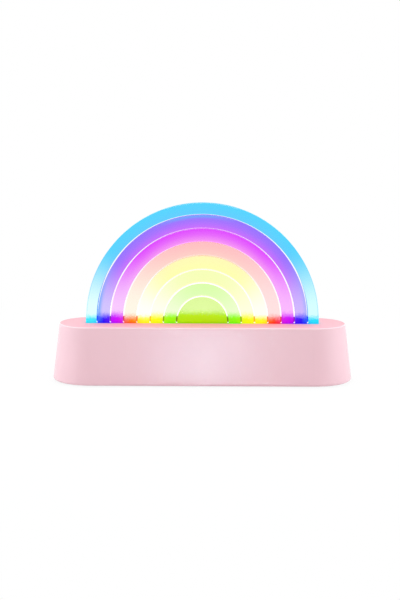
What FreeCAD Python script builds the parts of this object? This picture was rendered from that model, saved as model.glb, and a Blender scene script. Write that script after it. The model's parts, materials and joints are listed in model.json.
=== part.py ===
import FreeCAD, Part
import math
import os

# A rainbow night light: a clear slotted arch stands in a slot along the top of a tapered base.
# Lengths are millimetres. X runs along the base, Y from the front (minus) to the rear (plus), Z is up.
# The origin lies under the middle of the base, on the plane that the rubber feet rest on.

Vector = FreeCAD.Vector

# Clear panel
ARCH_RADIUS = 93.0  # outer edge of the arch
ARCH_RISE = 3.0  # centre of the arch above the top of the base
PANEL_THICKNESS = 10.0
OUTER_BAND = 9.0  # outer edge of the arch to the middle of the first slot
CORE_RADIUS = 20.5  # middle of the innermost slot
CORE_LEG = 0.3  # straight leg under the innermost slot's arc
SLOT_COUNT = 7
SLOT_WIDTH = 1.0
SLOT_END_RISE = 0.6  # lowest point of a slot above the top of the base
SLOT_WEB = 3.0  # sheet left at the middle of its thickness in the feet of the slots
SLOT_WEB_RISE = 5.3  # top of that web above the top of the base
PANEL_CHAMFER = 0.35  # polished outer edges of the arch
PANEL_SHOULDER = 4.0  # reach of the panel's foot past the arch, at each end
PANEL_FOOT = 8.0  # height of the panel's foot below the top wall

# Base shell
BASE_OVERHANG = 27.2  # reach of the base past the arch, at each end of the foot
BASE_DEPTH = 64.4  # front to rear at the foot
BASE_HEIGHT = 45.6
WALL_DRAFT = 7.2  # lean of the side walls in degrees
WALL = 3.0
TOP_WALL = 3.0
TOP_EDGE_ROUND = 1.0
FOOT_EDGE_ROUND = 1.8
FOOT_ROUND_SHARE = 0.9  # the most of the wall that the foot's rounding takes
POST_RADIUS = 3.5
POST_FROM_END = 8.0  # cover posts inward of the middle of the round ends
POST_FROM_WALL = 3.0  # cover posts inward of the wall's inner face at the top

# Bottom cover and feet
COVER_THICKNESS = 3.0
FOOT_RADIUS = 5.0
FOOT_RECESS = 1.0
FOOT_PROUD = 1.0  # feet below the base
FOOT_FROM_POST = 16.0  # feet inward of the cover posts

# Clearances
SLIDE_GAP = 0.25  # parts that slide together by hand
BUTTON_GAP = 0.3  # button in its collar
PLUNGER_GAP = 0.1  # plunger in the switch
PILOT_GAP = 0.05  # screw in its own hole
SCREW_HOLE_GAP = 0.3  # screw through the piece that it clamps
HEAD_GAP = 0.3  # screw head in its counterbore
PART_GAP = 0.5  # windows and notches round fixed parts
BEND_SHARE = 0.9  # the most of a lead's straight run that its bends take

# Screws: shank radius, head radius, head height and length under the head
COVER_SCREW_RADIUS = 1.4
COVER_SCREW_HEAD_RADIUS = 2.7
COVER_SCREW_HEAD = 1.6
COVER_SCREW_LENGTH = 10.0
CARRIER_SCREW_RADIUS = 1.2
CARRIER_SCREW_HEAD_RADIUS = 2.3
CARRIER_SCREW_HEAD = 1.5
CARRIER_SCREW_LENGTH = 8.0
BOARD_SCREW_RADIUS = 1.0
BOARD_SCREW_HEAD_RADIUS = 1.9
BOARD_SCREW_HEAD = 1.3
BOARD_SCREW_LENGTH = 5.5
PILOT_DEPTH_SPARE = 1.0  # hole past the tip of a screw
DRIVE_WIDTH = 0.7  # cross recess in a screw head
DRIVE_DEPTH = 0.8
DRIVE_SHARE = 0.6  # reach of the cross as a share of the head's radius

# Carrier that clamps the panel's foot
CARRIER_WALL = 2.0
CARRIER_FLOOR = 2.0
CARRIER_END = 2.0
EAR_FROM_END = 33.0  # screw ears inward of the arch's outer edge
EAR_WIDTH = 9.0
EAR_REACH = 9.0
EAR_THICKNESS = 3.0
CARRIER_BOSS_RADIUS = 3.5
CARRIER_BOSS_LENGTH = 8.0

# Light strip under the panel
LED_SIZE = 5.0
LED_HEIGHT = 1.6
LED_WINDOW_RADIUS = 2.0
LED_WINDOW_DEPTH = 0.3
LED_GAP = 0.4  # lamps below the panel's foot
LED_BOARD_THICKNESS = 1.6
TAPE_THICKNESS = 0.3
CONNECTOR_LENGTH = 9.0  # four-way connectors at both ends of the light strip's leads
CONNECTOR_DEPTH = 5.0
CONNECTOR_HEIGHT = 5.5
LED_LEAD_COUNT = 4
LED_LEAD_PITCH = 1.8
LED_LEAD_RADIUS = 0.55
LED_LEAD_BEND = 3.5
LED_LEAD_RUN = 2.8  # straight run out of each connector
LED_LEADS_X = 16.0

# Control board
BOARD_LENGTH = 68.0
BOARD_DEPTH = 25.0
BOARD_THICKNESS = 1.6
BOARD_HOLE_INSET = 3.5
STANDOFF_HEIGHT = 6.0
STANDOFF_RADIUS = 2.8
BUTTON_FROM_BOARD_END = 18.0
HEADER_FROM_FRONT = 6.0  # light strip's header behind the front edge of the board
CHIP_LENGTH = 10.0
CHIP_DEPTH = 4.0
CHIP_HEIGHT = 1.6
CHIP_PIN_WIDTH = 0.5
CHIP_PIN_REACH = 1.0
CHIP_PIN_HEIGHT = 0.4
CHIP_PIN_PITCH = 1.27
CHARGER_LENGTH = 5.0
CHIP_ROW_FROM_FRONT = 14.0
CHIP_FROM_USB = 9.0
CAPACITOR_RADIUS = 2.5
CAPACITOR_HEIGHT = 6.0
CAPACITOR_PITCH = 6.4
CAPACITOR_FROM_END = 10.0

# Power button and switch on the rear wall
BUTTON_X = 0.0
BUTTON_RADIUS = 5.0
BUTTON_TRAVEL = 2.0
BUTTON_PROUD = 1.2  # button past the wall at its axis
BUTTON_EDGE_ROUND = 0.7
BUTTON_DISH_RADIUS = 16.0
BUTTON_DISH_DEPTH = 0.4
FLANGE_REACH = 1.5
FLANGE_THICKNESS = 1.5
COLLAR_WALL = 2.0
COLLAR_LENGTH = 3.0
SWITCH_SIZE = 8.0
SWITCH_DEPTH = 8.0
SWITCH_CLEARANCE = 2.5  # pressed button clear of the switch body
PLUNGER_RADIUS = 1.5
PLUNGER_SUNK = 3.0  # plunger inside the switch when released

# Charging inlet and its light on the rear wall
USB_FROM_BUTTON = 22.0
USB_WIDTH = 9.0
USB_HEIGHT = 3.3
USB_DEPTH = 7.4
USB_ROUND = 1.4
USB_METAL = 0.3
USB_BACK = 1.0
USB_OVERHANG = 1.2  # inlet past the edge of the board
USB_GAP = 0.4  # inlet behind the floor of the plug's recess
USB_SLOT_GAP = 0.3  # slot in that floor round the inlet
TONGUE_WIDTH = 6.7
TONGUE_THICKNESS = 0.7
TONGUE_REACH = 5.0
PLUG_WIDTH = 13.0  # recess in the wall for the plug's grip
PLUG_HEIGHT = 7.0
PLUG_ROUND = 2.0
PLUG_RECESS = 4.0
PLUG_FLOOR = 1.2
PLUG_WALL = 1.5
LIGHT_FROM_USB = 12.0
LIGHT_RADIUS = 1.5
LIGHT_PROUD = 0.4
LIGHT_EDGE_ROUND = 0.3
LIGHT_RISE = 1.0  # axis of the light pipe above the board
CHARGE_LED_LENGTH = 1.6
CHARGE_LED_DEPTH = 1.2
CHARGE_LED_HEIGHT = 1.0

# Battery
CELL_LENGTH = 48.0
CELL_DEPTH = 28.0
CELL_HEIGHT = 9.0
CELL_ROUND = 3.0
CELL_FROM_BOARD = 12.0
PAD_THICKNESS = 1.0
TRAY_WALL = 1.5
TRAY_HEIGHT = 6.0
TRAY_GAP = 0.4
CELL_LEAD_RADIUS = 0.7
CELL_LEAD_PITCH = 2.4
CELL_LEAD_BEND = 6.0
CELL_LEAD_RUN = 3.5
CELL_LEAD_DROP = 2.0  # leads below the top of the cell
CELL_SOCKET_LENGTH = 6.0
CELL_SOCKET_DEPTH = 6.0
CELL_SOCKET_HEIGHT = 4.8
CELL_SOCKET_FROM_END = 1.0
CELL_SOCKET_FROM_FRONT = 11.0

# Levels, from the feet upwards
PAST = 1.0  # cutting tools reach this far past the faces that they cut
SAME = 1e-4  # places closer than this are the same
Z_FOOT = FOOT_PROUD
Z_COVER = Z_FOOT + COVER_THICKNESS
Z_TOP = Z_FOOT + BASE_HEIGHT
Z_UNDER = Z_TOP - TOP_WALL
Z_ARCH = Z_TOP + ARCH_RISE
Z_PANEL_FOOT = Z_UNDER - PANEL_FOOT
Z_LED_BOARD_TOP = Z_PANEL_FOOT - LED_GAP - LED_HEIGHT
Z_LED_BOARD = Z_LED_BOARD_TOP - LED_BOARD_THICKNESS
Z_CARRIER_FLOOR = Z_LED_BOARD - TAPE_THICKNESS
Z_CARRIER = Z_CARRIER_FLOOR - CARRIER_FLOOR
Z_EAR = Z_UNDER - CARRIER_BOSS_LENGTH
Z_BOARD = Z_COVER + STANDOFF_HEIGHT
Z_BOARD_TOP = Z_BOARD + BOARD_THICKNESS
Z_BUTTON = Z_BOARD_TOP + SWITCH_SIZE / 2
Z_USB = Z_BOARD_TOP + USB_HEIGHT / 2
Z_LIGHT = Z_BOARD_TOP + LIGHT_RISE
Z_CELL = Z_COVER + PAD_THICKNESS

# Plan of the base
DRAFT = math.radians(WALL_DRAFT)
HALF_SPAN = ARCH_RADIUS + BASE_OVERHANG - BASE_DEPTH / 2  # middle of each round end


def outer_radius(z):
    """Half depth of the base's outside at a height, which is also the radius of its round ends."""
    return BASE_DEPTH / 2 - (z - Z_FOOT) * math.tan(DRAFT)


def inner_radius(z):
    """Half depth of the base's inside at a height."""
    return outer_radius(z) - WALL / math.cos(DRAFT)


POST_X = HALF_SPAN - POST_FROM_END
POST_Y = inner_radius(Z_UNDER) - POST_FROM_WALL
FOOT_X = POST_X - FOOT_FROM_POST
CARRIER_HALF_DEPTH = PANEL_THICKNESS / 2 + SLIDE_GAP + CARRIER_WALL
EAR_X = ARCH_RADIUS - EAR_FROM_END
EAR_Y = CARRIER_HALF_DEPTH + EAR_REACH / 2

# Rear wall: the button's line, then the inlet's
COLLAR_RADIUS = BUTTON_RADIUS + BUTTON_GAP + COLLAR_WALL
COLLAR_Y = inner_radius(Z_BUTTON) - COLLAR_LENGTH
FLANGE_Y = COLLAR_Y - BUTTON_GAP
BUTTON_BACK_Y = FLANGE_Y - FLANGE_THICKNESS
SWITCH_Y = BUTTON_BACK_Y - BUTTON_TRAVEL - SWITCH_CLEARANCE
USB_X = BUTTON_X + USB_FROM_BUTTON
PLUG_FLOOR_Y = outer_radius(Z_USB) - PLUG_RECESS
USB_MOUTH_Y = PLUG_FLOOR_Y - PLUG_FLOOR - USB_GAP
LIGHT_X = USB_X + LIGHT_FROM_USB
BOARD_REAR = USB_MOUTH_Y - USB_OVERHANG
BOARD_FRONT = BOARD_REAR - BOARD_DEPTH
BOARD_LEFT = BUTTON_X - BUTTON_FROM_BOARD_END
BOARD_RIGHT = BOARD_LEFT + BOARD_LENGTH
HEADER_Y = BOARD_FRONT + HEADER_FROM_FRONT
CHIP_Y = BOARD_FRONT + CHIP_ROW_FROM_FRONT
CELL_RIGHT = BOARD_LEFT - CELL_FROM_BOARD
CELL_SOCKET_LEFT = BOARD_LEFT + CELL_SOCKET_FROM_END
CELL_SOCKET_Y = BOARD_FRONT + CELL_SOCKET_FROM_FRONT

# Slots from the outside in: radii and centres of their arcs, and the middles of the arches between them.
# The first slot shares the arch's centre, and the centres come down evenly to that of the innermost slot.
SLOT_PITCH = (ARCH_RADIUS - OUTER_BAND - CORE_RADIUS) / (SLOT_COUNT - 1)
SLOT_RADII = [ARCH_RADIUS - OUTER_BAND - i * SLOT_PITCH for i in range(SLOT_COUNT)]
Z_SLOT_END = Z_TOP + SLOT_END_RISE + SLOT_WIDTH / 2
Z_CORE = Z_SLOT_END + CORE_LEG
SLOT_CENTRES = [Z_ARCH + (Z_CORE - Z_ARCH) * i / (SLOT_COUNT - 1) for i in range(SLOT_COUNT)]
ARCH_EDGES = [ARCH_RADIUS] + SLOT_RADII
ARCH_MIDDLES = [(a + b) / 2 for a, b in zip(ARCH_EDGES, SLOT_RADII)]

X_AXIS = Vector(1, 0, 0)
Y_AXIS = Vector(0, 1, 0)
Z_AXIS = Vector(0, 0, 1)
SIDES = (-1, 1)
CORNERS = [(sx, sy) for sx in SIDES for sy in SIDES]


# Shapes used by several pieces

def block(x, y, z):
    """A box from three (low, high) pairs."""
    size = [high - low for low, high in (x, y, z)]
    return Part.makeBox(*size, Vector(x[0], y[0], z[0]))


def about(middle, size):
    """The (low, high) pair of a length about its middle."""
    return (middle - size / 2, middle + size / 2)


def upright(radius, x, y, z_low, z_high):
    return Part.makeCylinder(radius, z_high - z_low, Vector(x, y, z_low), Z_AXIS)


def rearward(radius, x, z, y_low, y_high):
    """A cylinder that runs from front to rear."""
    return Part.makeCylinder(radius, y_high - y_low, Vector(x, y_low, z), Y_AXIS)


def edges_along(shape, axis):
    """The straight edges of a shape that run along an axis."""
    lines = [e for e in shape.Edges if isinstance(e.Curve, Part.Line)]
    return [e for e in lines if abs(abs(e.Curve.Direction.dot(axis)) - 1) < SAME]


def edges_at_height(shape, z):
    """The edges of a shape that lie level at a height."""
    return [e for e in shape.Edges if all(abs(e.valueAt(t).z - z) < SAME for t in e.ParameterRange)
            and abs(e.CenterOfMass.z - z) < SAME]


def rounded_block(x, y, z, axis, radius):
    """A box whose edges along one axis are rounded."""
    solid = block(x, y, z)
    return solid.makeFillet(radius, edges_along(solid, axis))


def rear_block(width, height, radius, y_low, y_high):
    """A block about the charging inlet's axis with rounded edges from front to rear."""
    return rounded_block(about(USB_X, width), (y_low, y_high), about(Z_USB, height), Y_AXIS, radius)


def tapered_stadium(radius_at, z_low, z_high):
    """A long block with half round ends, whose walls lean in towards the top."""
    low = radius_at(z_low)
    high = radius_at(z_high)
    middles = [Vector(side * HALF_SPAN, 0, z_low) for side in SIDES]
    ends = [Part.makeCone(low, high, z_high - z_low, middle, Z_AXIS) for middle in middles]
    section = [(-low, z_low), (low, z_low), (high, z_high), (-high, z_high), (-low, z_low)]
    outline = Part.makePolygon([Vector(-HALF_SPAN, y, z) for y, z in section])
    straight = Part.Face(outline).extrude(X_AXIS * (2 * HALF_SPAN))
    return straight.fuse(ends).removeSplitter()


def screw(radius, head_radius, head, length):
    """A pan head screw on the Z axis: its head ends at zero and its shank goes up."""
    body = upright(head_radius, 0, 0, -head, 0).fuse(upright(radius, 0, 0, 0, length)).removeSplitter()
    low = (-head - PAST, -head + DRIVE_DEPTH)
    long_way = about(0, 2 * DRIVE_SHARE * head_radius)
    short_way = about(0, DRIVE_WIDTH)
    return body.cut([block(long_way, short_way, low), block(short_way, long_way, low)])


def placed(shape, x, y, z, head_up=False):
    """A copy of a shape moved to a place, turned over first where its head points up."""
    copy = shape.copy()
    if head_up:
        copy.rotate(Vector(0, 0, 0), X_AXIS, 180)
    copy.translate(Vector(x, y, z))
    return copy


def lead(points, radius, bend):
    """A round wire along straight runs joined by tangent arcs, as wide as the runs leave room for."""
    runs = [after - before for before, after in zip(points, points[1:])]
    # Two bends share a run, but for the first and last run, which have one bend each
    rooms = [BEND_SHARE * run.Length / 2 for run in runs]
    rooms[0] *= 2
    rooms[-1] *= 2
    edges = []
    start = points[0]
    for i, corner in enumerate(points[1:-1]):
        into = Vector(runs[i]).normalize()
        out = Vector(runs[i + 1]).normalize()
        half_turn = math.tan(into.getAngle(out) / 2)
        setback = min(bend * half_turn, rooms[i], rooms[i + 1])
        arc_radius = setback / half_turn
        first = corner - into * setback
        last = corner + out * setback
        inward = (out - into).normalize()
        centre = corner + inward * math.hypot(arc_radius, setback)
        edges.append(Part.LineSegment(start, first).toShape())
        edges.append(Part.Arc(first, centre - inward * arc_radius, last).toShape())
        start = last
    edges.append(Part.LineSegment(start, points[-1]).toShape())
    path = Part.Wire(edges)
    ring = Part.Wire(Part.makeCircle(radius, points[0], points[1] - points[0]))
    return path.makePipeShell([ring], True, False)


# Clear panel

def slot_cutter(radius, centre):
    """The cut of one slot: a half ring with straight legs and round ends, but for the web in its feet."""
    outer = radius + SLOT_WIDTH / 2
    inner = radius - SLOT_WIDTH / 2
    end = Z_SLOT_END
    y = -PANEL_THICKNESS / 2 - PAST

    def at(x, z):
        return Vector(x, y, z)

    edges = [
        Part.LineSegment(at(-outer, end), at(-outer, centre)),
        Part.Arc(at(-outer, centre), at(0, centre + outer), at(outer, centre)),
        Part.LineSegment(at(outer, centre), at(outer, end)),
        Part.Arc(at(outer, end), at(radius, end - SLOT_WIDTH / 2), at(inner, end)),
        Part.LineSegment(at(inner, end), at(inner, centre)),
        Part.Arc(at(inner, centre), at(0, centre + inner), at(-inner, centre)),
        Part.LineSegment(at(-inner, centre), at(-inner, end)),
        Part.Arc(at(-inner, end), at(-radius, end - SLOT_WIDTH / 2), at(-outer, end)),
    ]
    outline = Part.Wire([edge.toShape() for edge in edges])
    through = Part.Face(outline).extrude(Y_AXIS * (PANEL_THICKNESS + 2 * PAST))
    web = block(about(0, 2 * (outer + PAST)), about(0, SLOT_WEB), (Z_TOP, Z_TOP + SLOT_WEB_RISE))
    return through.cut(web)


def rainbow_panel():
    """The arch with its slots, on a foot that is wider than the slot in the base."""
    half_depth = PANEL_THICKNESS / 2
    disc = rearward(ARCH_RADIUS, 0, Z_ARCH, -half_depth, half_depth)
    stem = block(about(0, 2 * ARCH_RADIUS), about(0, PANEL_THICKNESS), (Z_UNDER, Z_ARCH))
    below = block(about(0, 2 * ARCH_RADIUS), about(0, PANEL_THICKNESS), (Z_ARCH - ARCH_RADIUS, Z_ARCH))
    arch = disc.cut(below).fuse(stem).removeSplitter()
    polished = [e for e in arch.Edges if abs(abs(e.CenterOfMass.y) - half_depth) < SAME
                and e.BoundBox.ZMax > Z_UNDER + PAST]
    arch = arch.makeChamfer(PANEL_CHAMFER, polished)
    arch = arch.cut([slot_cutter(*slot) for slot in zip(SLOT_RADII, SLOT_CENTRES)])
    foot_half = ARCH_RADIUS + PANEL_SHOULDER
    foot = block(about(0, 2 * foot_half), about(0, PANEL_THICKNESS), (Z_PANEL_FOOT, Z_UNDER))
    return arch.fuse(foot)


# Base

def base_shell():
    """The housing: leaning walls, a slotted top, posts for the cover and bosses for the carrier."""
    body = tapered_stadium(outer_radius, Z_FOOT, Z_TOP)
    body = body.makeFillet(TOP_EDGE_ROUND, edges_at_height(body, Z_TOP))
    body = body.makeFillet(min(FOOT_EDGE_ROUND, FOOT_ROUND_SHARE * WALL), edges_at_height(body, Z_FOOT))
    shell = body.cut(tapered_stadium(inner_radius, Z_FOOT - PAST, Z_UNDER))
    root = Z_UNDER + TOP_WALL / 2
    posts = [upright(POST_RADIUS, sx * POST_X, sy * POST_Y, Z_COVER, root) for sx, sy in CORNERS]
    bosses = [upright(CARRIER_BOSS_RADIUS, sx * EAR_X, sy * EAR_Y, Z_EAR, root) for sx, sy in CORNERS]
    collar = rearward(COLLAR_RADIUS, BUTTON_X, Z_BUTTON, COLLAR_Y, BASE_DEPTH / 2)
    pocket = rear_block(PLUG_WIDTH + 2 * PLUG_WALL, PLUG_HEIGHT + 2 * PLUG_WALL, PLUG_ROUND + PLUG_WALL,
                        PLUG_FLOOR_Y - PLUG_FLOOR, BASE_DEPTH / 2)
    inner_parts = [piece.common(body) for piece in posts + bosses + [collar, pocket]]
    shell = shell.fuse(inner_parts).removeSplitter()

    slot_x = about(0, 2 * (ARCH_RADIUS + SLIDE_GAP))
    slot_y = about(0, PANEL_THICKNESS + 2 * SLIDE_GAP)
    cuts = [block(slot_x, slot_y, (Z_UNDER - PAST, Z_TOP + PAST))]
    post_hole = Z_FOOT + COVER_SCREW_HEAD + HEAD_GAP + COVER_SCREW_LENGTH + PILOT_DEPTH_SPARE
    boss_hole = Z_EAR - EAR_THICKNESS + CARRIER_SCREW_LENGTH + PILOT_DEPTH_SPARE
    cover_pilot = COVER_SCREW_RADIUS + PILOT_GAP
    carrier_pilot = CARRIER_SCREW_RADIUS + PILOT_GAP
    for sx, sy in CORNERS:
        cuts.append(upright(cover_pilot, sx * POST_X, sy * POST_Y, Z_COVER - PAST, post_hole))
        cuts.append(upright(carrier_pilot, sx * EAR_X, sy * EAR_Y, Z_EAR - PAST, boss_hole))
    rear = BASE_DEPTH / 2 + PAST
    inside = inner_radius(Z_TOP)
    cuts.append(rearward(BUTTON_RADIUS + BUTTON_GAP, BUTTON_X, Z_BUTTON, COLLAR_Y - PAST, rear))
    cuts.append(rear_block(PLUG_WIDTH, PLUG_HEIGHT, PLUG_ROUND, PLUG_FLOOR_Y, rear))
    slot_width = USB_WIDTH + 2 * USB_SLOT_GAP
    slot_height = USB_HEIGHT + 2 * USB_SLOT_GAP
    cuts.append(rear_block(slot_width, slot_height, USB_ROUND + USB_SLOT_GAP, USB_MOUTH_Y, rear))
    cuts.append(rearward(LIGHT_RADIUS + PILOT_GAP, LIGHT_X, Z_LIGHT, inside, rear))
    return shell.cut(cuts)


def board_holes():
    """The places of the control board's four screws."""
    xs = (BOARD_LEFT + BOARD_HOLE_INSET, BOARD_RIGHT - BOARD_HOLE_INSET)
    ys = (BOARD_FRONT + BOARD_HOLE_INSET, BOARD_REAR - BOARD_HOLE_INSET)
    return [(x, y) for x in xs for y in ys]


def bottom_cover():
    """The plate that closes the base, with standoffs for the board and a tray for the cell."""
    plate = tapered_stadium(lambda z: inner_radius(z) - SLIDE_GAP, Z_FOOT, Z_COVER)
    sunk = Z_COVER - COVER_THICKNESS / 2
    standoffs = [upright(STANDOFF_RADIUS, x, y, sunk, Z_BOARD) for x, y in board_holes()]
    tray_x = about(CELL_RIGHT - CELL_LENGTH / 2, CELL_LENGTH + 2 * TRAY_GAP)
    tray_inside = [tray_x, about(0, CELL_DEPTH + 2 * TRAY_GAP)]
    tray_outside = [(low - TRAY_WALL, high + TRAY_WALL) for low, high in tray_inside]
    tray_top = Z_COVER + TRAY_HEIGHT
    tray = block(*tray_outside, (sunk, tray_top)).cut(block(*tray_inside, (sunk - PAST, tray_top + PAST)))
    plate = plate.fuse(standoffs + [tray]).removeSplitter()

    cuts = []
    head_room = Z_FOOT + COVER_SCREW_HEAD + HEAD_GAP
    for sx, sy in CORNERS:
        x = sx * POST_X
        y = sy * POST_Y
        cuts.append(upright(COVER_SCREW_RADIUS + SCREW_HOLE_GAP, x, y, Z_FOOT - PAST, Z_COVER + PAST))
        cuts.append(upright(COVER_SCREW_HEAD_RADIUS + HEAD_GAP, x, y, Z_FOOT - PAST, head_room))
        cuts.append(upright(FOOT_RADIUS + SLIDE_GAP, sx * FOOT_X, y, Z_FOOT - PAST, Z_FOOT + FOOT_RECESS))
    pilot = Z_BOARD_TOP - BOARD_SCREW_LENGTH - PILOT_DEPTH_SPARE
    for x, y in board_holes():
        cuts.append(upright(BOARD_SCREW_RADIUS + PILOT_GAP, x, y, pilot, Z_BOARD + PAST))
    return plate.cut(cuts)


def rubber_feet():
    """Four round feet stuck in recesses of the cover."""
    feet = []
    for sx, sy in CORNERS:
        foot = upright(FOOT_RADIUS, sx * FOOT_X, sy * POST_Y, 0, Z_FOOT + FOOT_RECESS)
        feet.append(foot.makeChamfer(FOOT_PROUD / 2, edges_at_height(foot, 0)))
    return feet


def cover_screws():
    one = screw(COVER_SCREW_RADIUS, COVER_SCREW_HEAD_RADIUS, COVER_SCREW_HEAD, COVER_SCREW_LENGTH)
    seat = Z_FOOT + COVER_SCREW_HEAD + HEAD_GAP
    return [placed(one, sx * POST_X, sy * POST_Y, seat) for sx, sy in CORNERS]


# Carrier and light strip

def led_window():
    """The opening under the light strip for its connector."""
    x = about(LED_LEADS_X, CONNECTOR_LENGTH + 2 * PART_GAP)
    y = about(0, CONNECTOR_DEPTH + 2 * PART_GAP)
    return block(x, y, (Z_CARRIER - PAST, Z_LED_BOARD))


def panel_carrier():
    """A channel round the panel's foot and the light strip, with four screw ears."""
    foot_half = ARCH_RADIUS + PANEL_SHOULDER + SLIDE_GAP
    inside_y = about(0, PANEL_THICKNESS + 2 * SLIDE_GAP)
    outside_y = about(0, 2 * CARRIER_HALF_DEPTH)
    top = Z_UNDER - SLIDE_GAP
    channel = block(about(0, 2 * (foot_half + CARRIER_END)), outside_y, (Z_CARRIER, top))
    ears = []
    for sx, sy in CORNERS:
        reach = sorted((0, sy * (CARRIER_HALF_DEPTH + EAR_REACH)))
        ears.append(block(about(sx * EAR_X, EAR_WIDTH), reach, (Z_EAR - EAR_THICKNESS, Z_EAR)))
    channel = channel.fuse(ears)
    cuts = [block(about(0, 2 * foot_half), inside_y, (Z_PANEL_FOOT, top + PAST))]
    cuts.append(block(about(0, 2 * ARCH_RADIUS), inside_y, (Z_CARRIER_FLOOR, top + PAST)))
    cuts.append(led_window())
    for sx, sy in CORNERS:
        hole = CARRIER_SCREW_RADIUS + SCREW_HOLE_GAP
        cuts.append(upright(hole, sx * EAR_X, sy * EAR_Y, Z_EAR - EAR_THICKNESS - PAST, Z_EAR + PAST))
    return channel.cut(cuts).removeSplitter()


def carrier_screws():
    one = screw(CARRIER_SCREW_RADIUS, CARRIER_SCREW_HEAD_RADIUS, CARRIER_SCREW_HEAD, CARRIER_SCREW_LENGTH)
    return [placed(one, sx * EAR_X, sy * EAR_Y, Z_EAR - EAR_THICKNESS) for sx, sy in CORNERS]


def led_strip_outline(z_low, z_high):
    """The light strip's own plan between two heights."""
    return block(about(0, 2 * (ARCH_RADIUS - PART_GAP)), about(0, PANEL_THICKNESS), (z_low, z_high))


def led_board():
    return led_strip_outline(Z_LED_BOARD, Z_LED_BOARD_TOP)


def led_tape():
    return led_strip_outline(Z_CARRIER_FLOOR, Z_LED_BOARD).cut(led_window())


def band_leds():
    """One lamp under each leg of each arch, and three under the middle."""
    places = [side * middle for middle in ARCH_MIDDLES for side in SIDES]
    places += [share * CORE_RADIUS / 2 for share in (-1, 0, 1)]
    top = Z_LED_BOARD_TOP + LED_HEIGHT
    lamps = []
    for x in places:
        case = block(about(x, LED_SIZE), about(0, LED_SIZE), (Z_LED_BOARD_TOP, top))
        lamps.append(case.cut(upright(LED_WINDOW_RADIUS, x, 0, top - LED_WINDOW_DEPTH, top + PAST)))
    return lamps


def connector(y, z_low):
    """A four-way connector of the light strip's leads."""
    x = about(LED_LEADS_X, CONNECTOR_LENGTH)
    return block(x, about(y, CONNECTOR_DEPTH), (z_low, z_low + CONNECTOR_HEIGHT))


def led_socket():
    return connector(0, Z_LED_BOARD - CONNECTOR_HEIGHT)


def led_header():
    return connector(HEADER_Y, Z_BOARD_TOP)


def led_leads():
    """Four leads from the light strip's socket down to the board's header."""
    top = Z_LED_BOARD - CONNECTOR_HEIGHT
    bottom = Z_BOARD_TOP + CONNECTOR_HEIGHT
    leads = []
    for i in range(LED_LEAD_COUNT):
        x = LED_LEADS_X + (i - (LED_LEAD_COUNT - 1) / 2) * LED_LEAD_PITCH
        route = [(0, top), (0, top - LED_LEAD_RUN), (HEADER_Y, bottom + LED_LEAD_RUN), (HEADER_Y, bottom)]
        leads.append(lead([Vector(x, y, z) for y, z in route], LED_LEAD_RADIUS, LED_LEAD_BEND))
    return leads


# Control board

def control_board():
    """The board, with a notch that clears the button and a hole for each screw."""
    board = block((BOARD_LEFT, BOARD_RIGHT), (BOARD_FRONT, BOARD_REAR), (Z_BOARD, Z_BOARD_TOP))
    through = (Z_BOARD - PAST, Z_BOARD_TOP + PAST)
    notch_front = BUTTON_BACK_Y - BUTTON_TRAVEL - PART_GAP
    notch_x = about(BUTTON_X, 2 * (COLLAR_RADIUS + PART_GAP))
    cuts = [block(notch_x, (notch_front, BOARD_REAR + PAST), through)]
    cuts += [upright(BOARD_SCREW_RADIUS + SCREW_HOLE_GAP, x, y, *through) for x, y in board_holes()]
    return board.cut(cuts)


def board_screws():
    one = screw(BOARD_SCREW_RADIUS, BOARD_SCREW_HEAD_RADIUS, BOARD_SCREW_HEAD, BOARD_SCREW_LENGTH)
    return [placed(one, x, y, Z_BOARD_TOP, head_up=True) for x, y in board_holes()]


def chip(x, length):
    """A flat chip on the board with a row of pins along each long side."""
    body = block(about(x, length), about(CHIP_Y, CHIP_DEPTH), (Z_BOARD_TOP, Z_BOARD_TOP + CHIP_HEIGHT))
    count = int(length / CHIP_PIN_PITCH)
    pins = []
    for i in range(count):
        pin_x = about(x + (i - (count - 1) / 2) * CHIP_PIN_PITCH, CHIP_PIN_WIDTH)
        pin_y = about(CHIP_Y, CHIP_DEPTH + 2 * CHIP_PIN_REACH)
        pins.append(block(pin_x, pin_y, (Z_BOARD_TOP, Z_BOARD_TOP + CHIP_PIN_HEIGHT)))
    return body.fuse(pins).removeSplitter()


def controller_chip():
    return chip(USB_X + CHIP_FROM_USB, CHIP_LENGTH)


def charger_chip():
    return chip(USB_X - CHIP_FROM_USB, CHARGER_LENGTH)


def board_capacitors():
    x = BOARD_RIGHT - CAPACITOR_FROM_END
    top = Z_BOARD_TOP + CAPACITOR_HEIGHT
    return [upright(CAPACITOR_RADIUS, x, y, Z_BOARD_TOP, top) for y in about(HEADER_Y, CAPACITOR_PITCH)]


# Power button

def power_button():
    """A round cap in the wall, kept in by a flange behind the collar."""
    face = outer_radius(Z_BUTTON) + BUTTON_PROUD
    cap = rearward(BUTTON_RADIUS, BUTTON_X, Z_BUTTON, FLANGE_Y - FLANGE_THICKNESS / 2, face)
    rim = [e for e in cap.Edges if abs(e.CenterOfMass.y - face) < SAME]
    cap = cap.makeFillet(BUTTON_EDGE_ROUND, rim)
    dish_centre = Vector(BUTTON_X, face - BUTTON_DISH_DEPTH + BUTTON_DISH_RADIUS, Z_BUTTON)
    cap = cap.cut(Part.makeSphere(BUTTON_DISH_RADIUS, dish_centre))
    flange = rearward(BUTTON_RADIUS + FLANGE_REACH, BUTTON_X, Z_BUTTON, BUTTON_BACK_Y, FLANGE_Y)
    return cap.fuse(flange).removeSplitter()


def switch_plunger():
    return rearward(PLUNGER_RADIUS, BUTTON_X, Z_BUTTON, SWITCH_Y - PLUNGER_SUNK, BUTTON_BACK_Y)


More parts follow.
